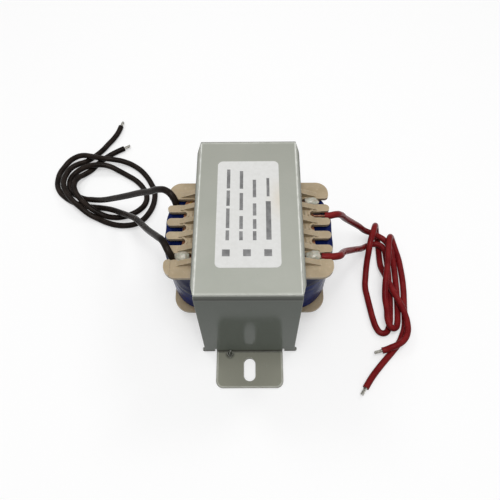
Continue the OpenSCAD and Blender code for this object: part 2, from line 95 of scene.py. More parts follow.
# The frame's sheet, half the width of its legs, and how far the legs stand clear of the core.
SHEET_T = 1.2
LEG_HALF = 19.25
LEG_FIT = 0.8
LEG_OUT = CORE_END + LEG_FIT + SHEET_T
# The outline of the feet's pale rims, part wear and part painted highlight: half its width, and the radius of
# its corners.
FOOT_HALF = 14.0
FOOT_ROUND = 3.0
# The middle of a nick where the near foot leaves its leg.
NICK_PLACE = (-8.5, -LEG_OUT - 1.4, 1.6)


# ---- Node materials ----

# How far the eased normal turns from the flat one where an edge begins to show and where it shows fully,
# as cosines.
EDGE_FROM = 0.995
EDGE_FULL = 0.93
# A Mix node's sockets for colours.
MIX_FACTOR, MIX_FIRST, MIX_SECOND = 0, 6, 7
MIX_RESULT = 2


class Finish:
    """A Principled material whose texture coordinates are millimetres in the shared frame."""

    def __init__(self, name, color, roughness, **sockets):
        self.made = bpy.data.materials.new(name)
        self.made.use_nodes = True
        self.tree = self.made.node_tree
        self.shader = self.tree.nodes["Principled BSDF"]
        self.set(color, "Base Color")
        self.shader.inputs["Roughness"].default_value = roughness
        for socket, value in sockets.items():
            self.shader.inputs[socket.replace("_", " ")].default_value = value
        source = self.tree.nodes.new("ShaderNodeTexCoord").outputs["Object"]
        scaled = self.add("ShaderNodeVectorMath", {0: source}, operation="SCALE")
        scaled.inputs["Scale"].default_value = 1 / MM
        self.place = scaled.outputs[0]

    def set(self, value, socket):
        """Puts a colour or another node's output on a socket of the shader."""
        target = self.shader.inputs[socket]
        if isinstance(value, bpy.types.NodeSocket):
            self.tree.links.new(value, target)
        else:
            target.default_value = (*value, 1)

    def add(self, kind, links=(), **settings):
        """Adds a node. settings are its properties, and links is {input: value or socket}."""
        made = self.tree.nodes.new(kind)
        for key, value in settings.items():
            setattr(made, key, value)
        for key, value in dict(links).items():
            if isinstance(value, bpy.types.NodeSocket):
                self.tree.links.new(value, made.inputs[key])
            else:
                made.inputs[key].default_value = value
        return made

    def stretch(self, x, y, z):
        """The place, scaled along each axis, for grain that runs one way."""
        links = {0: self.place, 1: (x, y, z)}
        return self.add("ShaderNodeVectorMath", links, operation="MULTIPLY").outputs[0]

    def axis(self, index):
        """The place along one axis, 0 to 2."""
        return self.add("ShaderNodeSeparateXYZ", {0: self.place}).outputs[index]

    def noise(self, scale, detail=4, roughness=0.55, place=None):
        """Cloudy noise from 0 to 1. scale counts its clouds in each millimetre."""
        links = {"Vector": place or self.place, "Scale": scale, "Detail": detail, "Roughness": roughness}
        return self.add("ShaderNodeTexNoise", links).outputs[0]

    def spread(self, value, low, high, to_low=0.0, to_high=1.0):
        """The value's range from low to high, spread over to_low to to_high and cut off past them."""
        links = {"Value": value, "From Min": low, "From Max": high, "To Min": to_low, "To Max": to_high}
        return self.add("ShaderNodeMapRange", links).outputs[0]

    def mix(self, factor, first, second):
        """Blends two colours."""
        links = {MIX_FACTOR: factor}
        for index, color in ((MIX_FIRST, first), (MIX_SECOND, second)):
            links[index] = color if isinstance(color, bpy.types.NodeSocket) else (*color, 1)
        return self.add("ShaderNodeMix", links, data_type="RGBA").outputs[MIX_RESULT]

    def math(self, operation, first, second=0.0):
        """The result of a Math node."""
        return self.add("ShaderNodeMath", {0: first, 1: second}, operation=operation).outputs[0]

    def times(self, first, second):
        """The product of two values."""
        return self.math("MULTIPLY", first, second)

    def over(self, tint, mask, strength, color):
        """Lays a colour over a tint where the mask is above 0."""
        return self.mix(self.times(mask, strength), tint, color)

    def near(self, point, reach):
        """1 at a point, in millimetres, falling to 0 at the reach round it."""
        links = {0: self.place, 1: point}
        distance = self.add("ShaderNodeVectorMath", links, operation="DISTANCE").outputs["Value"]
        return self.spread(distance, 0.0, reach, 1.0, 0.0)

    def band(self, value, middle, half):
        """1 where a value is at its middle, falling to 0 half a width away."""
        distance = self.math("ABSOLUTE", self.math("SUBTRACT", value, middle))
        return self.spread(distance, half, 0.3 * half)

    def past_outline(self, across, along, half_x, half_y, round_r):
        """How far a place is outside a rectangle with round corners, in millimetres."""
        over_x = self.math("MAXIMUM", self.math("SUBTRACT", across, half_x - round_r), 0.0)
        over_y = self.math("MAXIMUM", self.math("SUBTRACT", along, half_y - round_r), 0.0)
        squares = self.math("ADD", self.math("POWER", over_x, 2.0), self.math("POWER", over_y, 2.0))
        return self.math("SUBTRACT", self.math("SQRT", squares), round_r)

    def edge_mask(self, radius):
        """1 on convex and concave edges, 0 on flat faces. radius is in millimetres."""
        eased = self.add("ShaderNodeBevel", {"Radius": radius * MM}, samples=4).outputs[0]
        flat = self.add("ShaderNodeNewGeometry").outputs["True Normal"]
        links = {0: eased, 1: flat}
        match = self.add("ShaderNodeVectorMath", links, operation="DOT_PRODUCT").outputs["Value"]
        return self.spread(match, EDGE_FROM, EDGE_FULL)

    def bump(self, height, depth, below=None):
        """Relief of the height map, depth in millimetres, laid over another relief."""
        links = {"Height": height, "Distance": depth * MM, "Strength": 1.0}
        if below:
            links["Normal"] = below
        made = self.add("ShaderNodeBump", links).outputs[0]
        self.set(made, "Normal")
        return made


def paint_fold_light(finish, tint, across, along, height, uneven):
    """Painted light round the folds: painted shade on their outer part, and a painted highlight line where
    the sheet starts to turn.
    """
    # Painted shade on the folds down to the legs.
    leg_fold_shade = finish.times(
        finish.spread(along, LEG_OUT - 1.15, LEG_OUT - 0.8),
        finish.spread(height, FRAME_HIGH.z - 2.8, FRAME_HIGH.z - 1.4),
    )
    tint = finish.over(tint, leg_fold_shade, 0.85, (0.085, 0.09, 0.082))
    # Painted shade on the outer part of the long side folds.
    side_fold_shade = finish.spread(across, FRAME_HIGH.x - 0.9, FRAME_HIGH.x - 0.5, 0.0, 0.4)
    tint = finish.mix(side_fold_shade, tint, (0.2, 0.21, 0.19))
    # A painted highlight line along the long sides and the near and far top edges.
    top = finish.spread(height, FRAME_HIGH.z - 0.9, FRAME_HIGH.z - 0.6)
    by_side = finish.band(across, FRAME_HIGH.x - 1.5, 0.55)
    by_side = finish.times(by_side, finish.spread(along, LEG_OUT - 1.0, LEG_OUT - 1.6))
    by_leg = finish.times(finish.band(along, LEG_OUT - 1.5, 0.8), 0.3)
    fold_highlight = finish.times(finish.math("MAXIMUM", by_side, by_leg), top)
    return finish.mix(finish.times(fold_highlight, uneven), tint, (0.84, 0.85, 0.8))


def paint_feet_light_and_wear(finish, tint, across, along, height, uneven):
    """The feet are painted darker and browner than the top as painted shade, pale along their rims as part
    wear and part painted highlight, with painted shade by the legs and round the nick.
    """
    # Painted shade: the feet are darker and browner than the top.
    feet = finish.spread(height, 4.0, 1.4)
    tint = finish.mix(feet, tint, (0.275, 0.275, 0.225))
    # Pale rims: part wear, part painted highlight.
    rim = finish.band(finish.past_outline(across, along, FOOT_HALF, FRAME_HIGH.y, FOOT_ROUND), -0.35, 0.4)
    rim = finish.times(finish.times(rim, feet), uneven)
    tint = finish.over(tint, rim, 0.75, (0.6, 0.6, 0.54))
    # Painted shade in the bend by the legs and round the nick.
    by_leg = finish.spread(along, LEG_OUT + 1.0, LEG_OUT + 0.2)
    crease_and_nick_shade = finish.times(by_leg, finish.spread(height, 3.6, 1.6))
    crease_and_nick_shade = finish.math("MAXIMUM", crease_and_nick_shade, finish.spread(finish.near(NICK_PLACE, 2.4), 0.0, 0.5))
    return finish.over(tint, crease_and_nick_shade, 0.8, (0.05, 0.052, 0.042))


def paint_steel():
    """Grey-green coated sheet steel: cloudy, finely pebbled, flecked, scratched, with bright edges, part wear
    and part painted highlight, and painted light and shade on its top, legs, folds and feet.
    """
    finish = Finish("frame_steel", (0.38, 0.39, 0.34), 0.12, Specular_IOR_Level=0.07)
    clouds = finish.spread(finish.noise(0.05, 5), 0.3, 0.7)
    # Painted light and shade: the top is painted paler towards the near end, where it is better lit, and
    # darker towards the far end.
    far_shaded_paint = finish.mix(clouds, (0.36, 0.37, 0.325), (0.39, 0.395, 0.35))
    near_lit_paint = finish.mix(clouds, (0.42, 0.435, 0.385), (0.47, 0.48, 0.43))
    tint = finish.mix(finish.spread(finish.axis(1), 30.0, -30.0), far_shaded_paint, near_lit_paint)
    across = finish.math("ABSOLUTE", finish.axis(0))
    along = finish.math("ABSOLUTE", finish.axis(1))
    height = finish.axis(2)
    # Painted shade: the legs are darker and greener than the top, as they face away from the light.
    leg_shade = finish.spread(height, FRAME_HIGH.z - 1.0, FRAME_HIGH.z - 3.0)
    tint = finish.over(tint, leg_shade, 0.9, (0.185, 0.21, 0.18))
    uneven = finish.spread(finish.noise(0.35, 3), 0.3, 0.62, 0.45, 0.95)
    tint = paint_fold_light(finish, tint, across, along, height, uneven)
    tint = paint_feet_light_and_wear(finish, tint, across, along, height, uneven)
    flecks = finish.spread(finish.noise(1.3, 3), 0.66, 0.76)
    tint = finish.over(tint, flecks, 0.16, (0.16, 0.17, 0.14))
    pale = finish.spread(finish.noise(2.1, 3), 0.64, 0.74)
    tint = finish.over(tint, pale, 0.16, (0.5, 0.51, 0.46))
    scratches = finish.spread(finish.noise(1.1, 2, place=finish.stretch(2.6, 0.25, 1.0)), 0.68, 0.74)
    tint = finish.over(tint, scratches, 0.14, (0.5, 0.51, 0.47))
    patches = finish.spread(finish.noise(0.5, 3), 0.35, 0.6, 0.25, 0.9)
    # Pale edges: part wear, part painted highlight.
    edge_wear_and_highlight = finish.times(finish.edge_mask(0.45), patches)
    finish.set(finish.mix(edge_wear_and_highlight, tint, (0.56, 0.57, 0.53)), "Base Color")
    finish.set(finish.spread(finish.noise(0.25, 6), 0.3, 0.7, 0.1, 0.17), "Roughness")
    pebble = finish.bump(finish.noise(2.6, 3), 0.003)
    rolling = finish.bump(finish.noise(0.5, 3, place=finish.stretch(1.0, 0.15, 0.4)), 0.008, pebble)
    # A small dent in the top, far from the near foot.
    dent = finish.near((-0.6, 30.5, FRAME_HIGH.z), 1.5)
    finish.bump(dent, -0.25, rolling)
    return finish.made


def lacquer_core():
    """Dark varnished electrical steel, streaked along its sheets, with a little rust."""
    finish = Finish("core_steel", (0.12, 0.125, 0.13), 0.42, Metallic=0.6)
    streaks = finish.noise(0.5, 5, place=finish.stretch(3.0, 0.25, 0.25))
    steel = finish.mix(finish.spread(streaks, 0.3, 0.7), (0.105, 0.11, 0.118), (0.165, 0.17, 0.178))
    rust = finish.spread(finish.noise(0.25, 6), 0.62, 0.78)
    finish.set(finish.over(steel, rust, 0.6, (0.12, 0.07, 0.04)), "Base Color")
    finish.set(finish.spread(finish.noise(1.5, 4), 0.3, 0.7, 0.32, 0.6), "Roughness")
    finish.bump(streaks, 0.02)
    return finish.made


def mould_nylon():
    """Beige moulded nylon: waxy, a little translucent, cloudy and streaked, with a painted highlight along
    its edges.
    """
    finish = Finish(
        "bobbin_nylon", (0.48, 0.39, 0.26), 0.3, Specular_IOR_Level=0.4,
        Subsurface_Weight=0.1, Subsurface_Scale=0.001, Subsurface_Radius=(1.0, 0.6, 0.35),
    )
    clouds = finish.spread(finish.noise(0.2, 4), 0.3, 0.7)
    tint = finish.mix(clouds, (0.385, 0.3, 0.187), (0.465, 0.37, 0.243))
    streaks = finish.spread(finish.noise(0.7, 4, place=finish.stretch(0.35, 1.6, 1.0)), 0.55, 0.75)
    tint = finish.over(tint, streaks, 0.35, (0.36, 0.28, 0.17))
    # A painted highlight: the edges are paler.
    finish.set(finish.over(tint, finish.edge_mask(0.35), 0.5, (0.62, 0.53, 0.39)), "Base Color")
    finish.set(finish.spread(finish.noise(0.8, 4), 0.3, 0.7, 0.16, 0.3), "Roughness")
    finish.bump(finish.noise(0.5, 3), 0.06, finish.bump(finish.noise(2.2, 3), 0.008))
    return finish.made


WIRE_PITCH = 0.55


def wind_copper():
    """Enamelled copper wire, its turns lying side by side."""
    finish = Finish("enamelled_copper", (0.5, 0.16, 0.06), 0.28, Metallic=0.8, Coat_Weight=0.5)
    clouds = finish.spread(finish.noise(0.8, 3), 0.3, 0.7)
    finish.set(finish.mix(clouds, (0.22, 0.07, 0.03), (0.45, 0.2, 0.1)), "Base Color")
    turns = [
        finish.math("SINE", finish.times(finish.axis(index), math.tau / WIRE_PITCH))
        for index in (0, 1, 2)
    ]
    finish.bump(finish.times(finish.math("ADD", turns[0], turns[1]), turns[2]), 0.06)
    return finish.made


def film_tape(name, deep, pale, layered=False):
    """Glossy polyester film, finely wrinkled. layered darkens its second wrap and its seam, and paints shade
    on its folds.
    """
    finish = Finish(name, deep, 0.16, Specular_IOR_Level=0.02)
    clouds = finish.spread(finish.noise(0.25, 3), 0.35, 0.7)
    tint = finish.mix(clouds, deep, pale)
    if layered:
        cover = finish.add("ShaderNodeAttribute", attribute_name="wrap").outputs["Fac"]
        tint = finish.over(tint, cover, 0.8, (0.01, 0.015, 0.075))
        # The dark seam line along the second wrap's edge, and painted shade on the film folded in under the
        # comb.
        seam_and_fold_shade = finish.add("ShaderNodeAttribute", attribute_name="seam_and_fold_shade").outputs["Fac"]
        tint = finish.over(tint, seam_and_fold_shade, 0.95, (0.0015, 0.0025, 0.014))
    finish.set(tint, "Base Color")
    finish.set(finish.spread(finish.noise(0.6, 3), 0.3, 0.7, 0.1, 0.26), "Roughness")
    sheen = finish.bump(finish.noise(0.9, 3, place=finish.stretch(1.0, 1.0, 0.15)), 0.03)
    finish.bump(finish.noise(0.35, 3, place=finish.stretch(0.6, 0.6, 1.8)), 0.08, sheen)
    return finish.made


def coat_wire(name, dark, pale):
    """Smooth PVC insulation with faint dust and handling marks."""
    finish = Finish(name, dark, 0.3, Specular_IOR_Level=0.055)
    clouds = finish.spread(finish.noise(0.2, 4), 0.35, 0.7)
    dust = finish.spread(finish.noise(2.4, 4), 0.62, 0.78)
    tint = finish.mix(clouds, dark, pale)
    dusty = tuple(min(1.0, 2.2 * part + 0.02) for part in pale)
    finish.set(finish.over(tint, dust, 0.2, dusty), "Base Color")
    finish.set(finish.spread(finish.noise(1.2, 4), 0.3, 0.7, 0.2, 0.34), "Roughness")
    finish.bump(finish.noise(0.9, 3), 0.03)
    return finish.made


def tin_strands():
    """Bright tinned copper wires, dulled in places."""
    finish = Finish("tinned_copper", (0.4, 0.39, 0.36), 0.35, Metallic=1.0)
    dull = finish.spread(finish.noise(2.0, 3), 0.4, 0.7)
    finish.set(finish.mix(dull, (0.45, 0.44, 0.4), (0.2, 0.19, 0.17)), "Base Color")
    finish.set(finish.spread(finish.noise(3.0, 3), 0.3, 0.7, 0.25, 0.5), "Roughness")
    finish.bump(finish.noise(3.0, 3), 0.02)
    return finish.made


def melt_glue():
    """Hot-melt glue: milky grey and glossy, with a little light scattered inside it."""
    finish = Finish("hot_melt", (0.5, 0.49, 0.41), 0.12, Subsurface_Weight=0.08, Subsurface_Scale=0.002)
    milk = finish.spread(finish.noise(0.45, 3), 0.35, 0.65)
    finish.set(finish.mix(milk, (0.36, 0.345, 0.27), (0.58, 0.555, 0.47)), "Base Color")
    finish.bump(finish.noise(0.5, 2), 0.08)
    return finish.made


def press_label():
    """White coated paper, faintly mottled, with a warm stain at its right side."""
    finish = Finish("label_film", (0.72, 0.72, 0.7), 0.42)
    mottle = finish.spread(finish.noise(0.7, 5), 0.3, 0.7)
    paper = finish.mix(mottle, (0.7, 0.7, 0.68), (0.75, 0.75, 0.735))
    side = finish.spread(finish.axis(0), LABEL_HIGH.x - 6, LABEL_HIGH.x)
    patch = finish.near((LABEL_HIGH.x, 6.0, LABEL_HIGH.z), 11.0)
    finish.set(finish.over(paper, finish.times(side, patch), 0.5, (0.68, 0.58, 0.42)), "Base Color")
    finish.bump(finish.noise(1.6, 4), 0.006)
    return finish.made


def print_ink():
    """Soft grey ink, thin in places."""
    finish = Finish("label_ink", (0.16, 0.16, 0.16), 0.5)
    faded = finish.spread(finish.noise(0.35, 3), 0.35, 0.7)
    finish.set(finish.mix(faded, (0.13, 0.13, 0.13), (0.26, 0.26, 0.26)), "Base Color")
    finish.bump(finish.noise(1.6, 4), 0.004)
    return finish.made


STEEL = paint_steel()
CORE = lacquer_core()
NYLON = mould_nylon()
COPPER = wind_copper()
BLUE_TAPE = film_tape("blue_tape", (0.006, 0.014, 0.11), (0.012, 0.032, 0.21), layered=True)
AMBER_TAPE = film_tape("amber_tape", (0.5, 0.3, 0.06), (0.6, 0.38, 0.1))
LABEL = press_label()
INK = print_ink()
BROWN_PVC = coat_wire("brown_pvc", (0.008, 0.0055, 0.0045), (0.028, 0.02, 0.016))
RED_PVC = coat_wire("red_pvc", (0.15, 0.007, 0.009), (0.225, 0.017, 0.017))
TINNED = tin_strands()
GLUE = melt_glue()


# ---- Pieces ----

def show(piece, material, slot, *nodes):
    """Gives a finished piece its material, and lets it stand for CAD nodes."""
    piece.data.materials.clear()
    piece.data.materials.append(material)
    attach(piece, "root")
    if nodes:
        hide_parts(*nodes)


def mesh_piece(name, bm, smooth=True):
    """Turns a bmesh into an object, in metres."""
    bmesh.ops.recalc_face_normals(bm, faces=bm.faces)
    mesh = bpy.data.meshes.new(name)
    bm.to_mesh(mesh)
    bm.free()
    for face in mesh.polygons:
        face.use_smooth = smooth
    piece = bpy.data.objects.new(name, mesh)
    bpy.context.scene.collection.objects.link(piece)
    return piece


# ---- Leads ----

LEAD_D = 2.8
# Middle lines of the leads in millimetres, from the comb to the end of the insulation.
BROWN_ROUTE_1 = [
    (-29.5, 12.4, 44.1), (-29.5, 12.4, 46.4), (-30.5, 13.8, 48.4), (-33, 16.2, 48.9), (-36.8, 18.6, 46.6),
    (-41.5, 21.2, 41.5), (-46.5, 24.2, 36.4), (-54.5, 28.5, 28), (-62.5, 32.7, 20), (-71, 37.5, 11.5),
    (-78.5, 42, 5.2), (-84, 45, 1.8), (-88, 47, 1.6), (-91, 49.7, 1.6), (-92.5, 53.5, 1.6),
    (-92.5, 57.5, 1.6), (-90.5, 61, 1.8), (-86.5, 62.8, 3.4), (-82, 63.6, 4.7), (-77, 64, 4.7),
    (-72.5, 63.6, 3.8), (-68, 62, 2.2), (-63.5, 59.5, 1.6), (-58.5, 56, 1.6), (-54.5, 51.5, 1.6),
    (-52.2, 46.5, 1.6), (-52.4, 42, 1.6), (-54.8, 38.3, 1.6), (-58.5, 35.7, 1.6), (-63, 34, 1.6),
    (-67, 33.7, 1.6), (-71.5, 34.6, 1.6), (-77, 36.8, 3.2), (-81.5, 39.8, 4.7), (-85, 43.5, 4.7),
    (-87.8, 47.5, 4.7), (-89, 52, 4.7), (-88, 56.5, 3.6), (-85.5, 59.8, 2.2), (-82.5, 63, 1.6),
    (-80, 66.5, 1.6), (-77, 70, 1.6), (-74, 72.7, 1.6), (-70.5, 75.2, 1.6), (-67, 77.3, 1.6),
]
BROWN_ROUTE_2 = [
    (-29.5, -12.4, 44.1), (-29.5, -12.4, 46.6), (-30.5, -11.2, 48.5), (-32.6, -7.2, 48.5),
    (-35.7, -3, 45.1), (-41, 4.5, 37), (-46.5, 13.2, 28), (-52, 21.5, 20), (-57.5, 27.5, 13.5),
    (-63, 32.4, 8.5), (-68.5, 36.5, 4.6), (-73.5, 39, 2), (-78, 39.8, 1.6), (-82.5, 40.4, 1.6),
    (-86, 41.6, 1.6), (-89.5, 43.2, 1.6), (-93.5, 46, 1.6), (-96.5, 49, 1.6), (-98.5, 53, 1.6),
    (-99, 57.5, 1.6), (-98.5, 61.5, 1.6), (-97, 65, 1.6), (-94.8, 67.9, 2.4), (-91.5, 69.7, 3.6),
    (-87.5, 70.2, 4.7), (-83, 69.7, 4.7), (-78.5, 68.6, 4.7), (-73, 68, 4.4), (-65.5, 67.5, 2.6),
    (-59, 64.5, 1.6), (-54, 59.5, 1.6), (-50.5, 54, 1.6), (-48.5, 49.5, 1.6), (-48, 45, 1.6),
    (-48.5, 40.5, 1.6), (-50.2, 36, 1.6), (-53, 32, 1.6), (-56.5, 29.8, 1.6), (-60.5, 29, 1.6),
    (-65, 29.2, 1.6), (-70, 30.6, 1.6), (-75, 32.8, 2), (-79.5, 34.8, 3.2), (-84, 38, 4.7),
    (-88.7, 42.4, 4.7), (-92.5, 47.5, 4.7), (-94.6, 53, 4.7), (-94, 58, 4.7), (-92, 62.2, 4.6),
    (-89.3, 65.5, 3.4), (-86.5, 68, 2), (-84, 70.2, 1.6), (-81.5, 72.5, 1.6), (-78.5, 76, 1.6),
    (-76, 80, 1.6), (-73.5, 84, 1.6), (-71.5, 88.5, 1.6), (-70.5, 92.5, 1.6),
]
RED_ROUTE_1 = [
    (30.3, 6.2, 45.4), (32.2, 6.2, 45.4), (34.8, 7, 45), (37.4, 9, 41.6), (40.3, 12, 34.5), (44, 15, 27),
    (50, 18.5, 16.8), (54.8, 20.6, 9), (58, 20.9, 6.6), (61, 19.9, 5.5), (64, 17.8, 5), (66.3, 14.3, 3.8),
    (67.3, 10, 2.2), (67.5, 5, 1.6), (67.4, 0, 1.6), (67.2, -5, 1.6), (66.9, -10, 1.6), (66.5, -15, 1.6),
    (66, -19.5, 1.6), (65.3, -22.8, 2.2), (63.9, -25.4, 3.4), (61.9, -25.8, 4.7), (60.7, -23, 5),
    (60.9, -17, 4.7), (60.7, -12, 5), (61, -7, 6.5), (61.8, -2, 7.8), (63, 3.5, 8), (64, 9, 8.2),
    (64.7, 13.5, 8.4), (65.6, 17.2, 8), (67, 19.3, 5.6), (68.3, 18.4, 2.8), (69.4, 14.5, 1.6),
    (70.2, 9.5, 1.6), (70.5, 4, 1.6), (70.6, -1, 1.6), (70.4, -6, 1.6), (70, -10.5, 1.6), (69.5, -15, 1.6),
    (69.1, -20, 1.6), (68.4, -24.5, 1.6), (66.8, -28.5, 1.6), (64.8, -32, 1.6), (61.8, -35.5, 1.6),
    (58.5, -39, 1.6), (55, -42.8, 1.6), (51.5, -47, 1.6), (48.5, -51.3, 1.6),
]
RED_ROUTE_2 = [
    (27.9, -12.4, 45.4), (31.5, -12.4, 45.4), (34.6, -11.8, 44.9), (36.5, -8.8, 41), (39, -4, 34),
    (43, 0.5, 27), (48, 6.8, 16.5), (52.5, 12.2, 7.8), (55.8, 15, 5), (58.7, 15.9, 4.8), (61.4, 15.3, 4.8),
    (63.4, 13.2, 4.2), (64.3, 10, 2.4), (64.5, 5.5, 1.6), (64.3, 0, 1.6), (63.9, -5.5, 1.6),
    (63.7, -10, 1.6), (63.3, -14, 1.6), (62.8, -18, 1.6), (62.2, -22, 1.6), (61.4, -24.8, 1.6),
    (59.8, -27, 1.6), (57.6, -27, 1.6), (56, -24.8, 1.6), (55, -21, 1.6), (54.1, -15, 1.6),
    (53.5, -10, 1.6), (53, -5, 1.8), (53.5, 0, 2.8), (54.2, 5.5, 5.2), (55, 10, 8.6), (56, 14.5, 10.8),
    (57.5, 18.5, 11.4), (58.7, 22, 10.6), (59.8, 24.2, 8), (60.6, 24.4, 4.8), (61.1, 22.8, 2.4),
    (61.4, 20, 1.6), (61.4, 16, 1.6), (61.3, 12, 1.6), (61.2, 8.5, 1.6), (61.3, 5, 2.2), (61.9, 1.2, 3.9),
    (63, -3, 4.7), (64.4, -7.5, 4.7), (66, -11.5, 4.7), (67.5, -15.5, 4.7), (68.5, -19.5, 4.7),
    (69, -24, 4.7), (68.5, -28, 4.7), (66.5, -31.5, 4.7), (63.5, -33.6, 4.7), (60.6, -34.7, 4.2),
    (58.8, -35.2, 3.2), (57, -35.6, 2.9),
]

STRAND_COUNT = 14
STRAND_L = 4.0
STRAND_R = 0.15
STRAND_SIDES = 6
STRAND_STEPS = 9
# How far the strands reach back into the insulation.
STRAND_SINK = 0.4
# One strand runs in the middle, those up to INNER_WIRES round it, and the rest further out.
INNER_WIRES = 6
INNER_LAY = 0.3
OUTER_LAY = 0.56
# The turn from one strand to the next, which spreads them evenly, and the twist along them in radians.
GOLDEN_TURN = 0.381966
TWIST = 1.6


def strand_bundle(name, route, seed):
    """Bare strands from the end of the insulation on: twisted together, a little splayed at their tips."""
    rng = random.Random(seed)
    end = Vector(route[-1])
    ahead = (end - Vector(route[-2])).normalized()
    side = ahead.cross(Vector((0, 0, 1))).normalized()
    over = side.cross(ahead)

    def spoke(angle):
        return side * math.cos(angle) + over * math.sin(angle)

    bm = bmesh.new()
    for k in range(STRAND_COUNT):
        ring = 0.0 if k == 0 else (INNER_LAY if k < INNER_WIRES else OUTER_LAY)
        turn = math.tau * k * GOLDEN_TURN
        reach = STRAND_L * rng.uniform(0.86, 1.0)
        splay = rng.uniform(0.0, 0.35)
        rows = []
        for i in range(STRAND_STEPS + 1):
            t = i / STRAND_STEPS
            radius = ring * (1 + splay * t ** 3)
            center = end + ahead * (reach * t - STRAND_SINK) + spoke(turn + TWIST * t) * radius
            wire_r = STRAND_R * (1 - 0.25 * t ** 6)
            rows.append([
                bm.verts.new((center + spoke(math.tau * j / STRAND_SIDES) * wire_r) * MM)
                for j in range(STRAND_SIDES)
            ])
        for low, high in zip(rows, rows[1:]):
            for j in range(STRAND_SIDES):
                after = (j + 1) % STRAND_SIDES
                bm.faces.new((low[j], low[after], high[after], high[j]))
        bm.faces.new(rows[0])
        bm.faces.new(rows[-1])
    return mesh_piece(name, bm)


def lead(colour, number, route, material):
    """A lead on a smooth curve through its route, and the bare strands at its end."""
    name = f"{colour}_cord_{number}"
    curve = bpy.data.curves.new(name, "CURVE")
    curve.dimensions = "3D"
    curve.resolution_u = 8
    curve.bevel_depth = LEAD_D / 2 * MM
    curve.bevel_resolution = 6
    curve.use_fill_caps = True
    spline = curve.splines.new("BEZIER")
    spline.bezier_points.add(len(route) - 1)
    for point, place in zip(spline.bezier_points, route):
        point.co = Vector(place) * MM
        point.handle_left_type = point.handle_right_type = "AUTO"
    piece = bpy.data.objects.new(name, curve)
    bpy.context.scene.collection.objects.link(piece)
    # The four leads have seeds 1 to 4.
    seed = number if colour == "brown" else number + 2
    strands = strand_bundle(f"{colour}_wires_{number}", route, seed)
    show(piece, material, f"{colour}_pvc", f"{colour}_lead_{number}")
    show(strands, TINNED, "tinned_copper", f"{colour}_strands_{number}")


lead("brown", 1, BROWN_ROUTE_1, BROWN_PVC)
lead("brown", 2, BROWN_ROUTE_2, BROWN_PVC)
lead("red", 1, RED_ROUTE_1, RED_PVC)
lead("red", 2, RED_ROUTE_2, RED_PVC)


# ---- Sheet steel frame ----

# Edges sharper than this, in degrees, are rounded.
EASE_ANGLE = 25
FRAME_EASE = 0.22
BOBBIN_EASE = 0.28
# Points nearer than this, in millimetres, are one, and faces flatter than this, in degrees, are joined.
JOIN_GAP = 0.002
JOIN_ANGLE = 1


def ease_edges(piece, width, clamp=True):
    """Rounds a piece's sharp edges, width in millimetres. clamp narrows it where edges crowd."""
    ease = piece.modifiers.new("ease", "BEVEL")
    ease.width = width * MM
    ease.segments = 2
    ease.limit_method = "ANGLE"
    ease.angle_limit = math.radians(EASE_ANGLE)
    ease.use_clamp_overlap = clamp
    level = piece.modifiers.new("level", "WEIGHTED_NORMAL")
    level.weight = 100
    level.keep_sharp = True
    return piece


def cad_form(node):
    """A bmesh of a CAD node's form, its flat faces joined again."""
    bm = bmesh.new()
    bm.from_mesh(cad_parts[node].data)
    bmesh.ops.remove_doubles(bm, verts=bm.verts, dist=JOIN_GAP * MM)
    bmesh.ops.dissolve_limit(
        bm, angle_limit=math.radians(JOIN_ANGLE), verts=bm.verts, edges=bm.edges,
        use_dissolve_boundaries=False,
    )
    return bm


# The rolled end of an ear: its radius, how much smaller its worn end is, and how far it reaches in
# behind the leg and out beside it.
EAR_ROLL_R = 0.95
EAR_EASE = 0.2
EAR_IN = 0.35
EAR_OUT = 1.1


def add_ear_end(bm, side, end):
    """The rolled end of an ear, which stands out beside the leg at its lowest fold."""
    inner, outer = LEG_HALF - EAR_IN, LEG_HALF + EAR_OUT
    length = outer - inner
    middle = Vector((side * (inner + outer) / 2, end * (LEG_OUT - EAR_ROLL_R - 0.1), EAR_ROLL_R + 0.05))
    turn = Matrix.Rotation(math.radians(90), 4, "Y")
    for reach, radius in ((length, EAR_ROLL_R - EAR_EASE), (length - 2 * EAR_EASE, EAR_ROLL_R)):
        back = Vector((side * (length - reach) / 2, 0, 0))
        bmesh.ops.create_cone(
            bm, segments=24, cap_ends=True, radius1=radius * MM, radius2=radius * MM, depth=reach * MM,
            matrix=Matrix.Translation((middle - back) * MM) @ turn,
        )


def add_nick(bm):
    """A chip of sheet metal torn up where the near foot leaves its leg."""
    foot_top = SHEET_T - 0.05
    # Its corners: how far off along X and Y, and their height.
    corners = (
        (-1.5, 0.8, foot_top), (1.4, 0.6, foot_top), (0.1, -1.7, foot_top),
        (0.4, 1.4, 3.3), (-0.2, -0.2, 3.0),
    )
    x, y, _ = NICK_PLACE
    a, b, c, d, e = (bm.verts.new(Vector((x + u, y + v, w)) * MM) for u, v, w in corners)
    for face in ((a, c, b), (a, b, d), (a, e, c), (b, c, e), (a, d, e), (b, e, d)):
        bm.faces.new(face)


def dress_frame():
    bm = cad_form("channel_frame")
    for side in (-1, 1):
        for end in (-1, 1):
            add_ear_end(bm, side, end)
    add_nick(bm)
    shell = ease_edges(mesh_piece("frame_shell", bm), FRAME_EASE, clamp=False)
    show(shell, STEEL, "frame_steel", "channel_frame")


def dress_core():
    for node in ("e_laminations", "i_laminations"):
        show(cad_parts[node], CORE, "core_steel")


# ---- Label ----

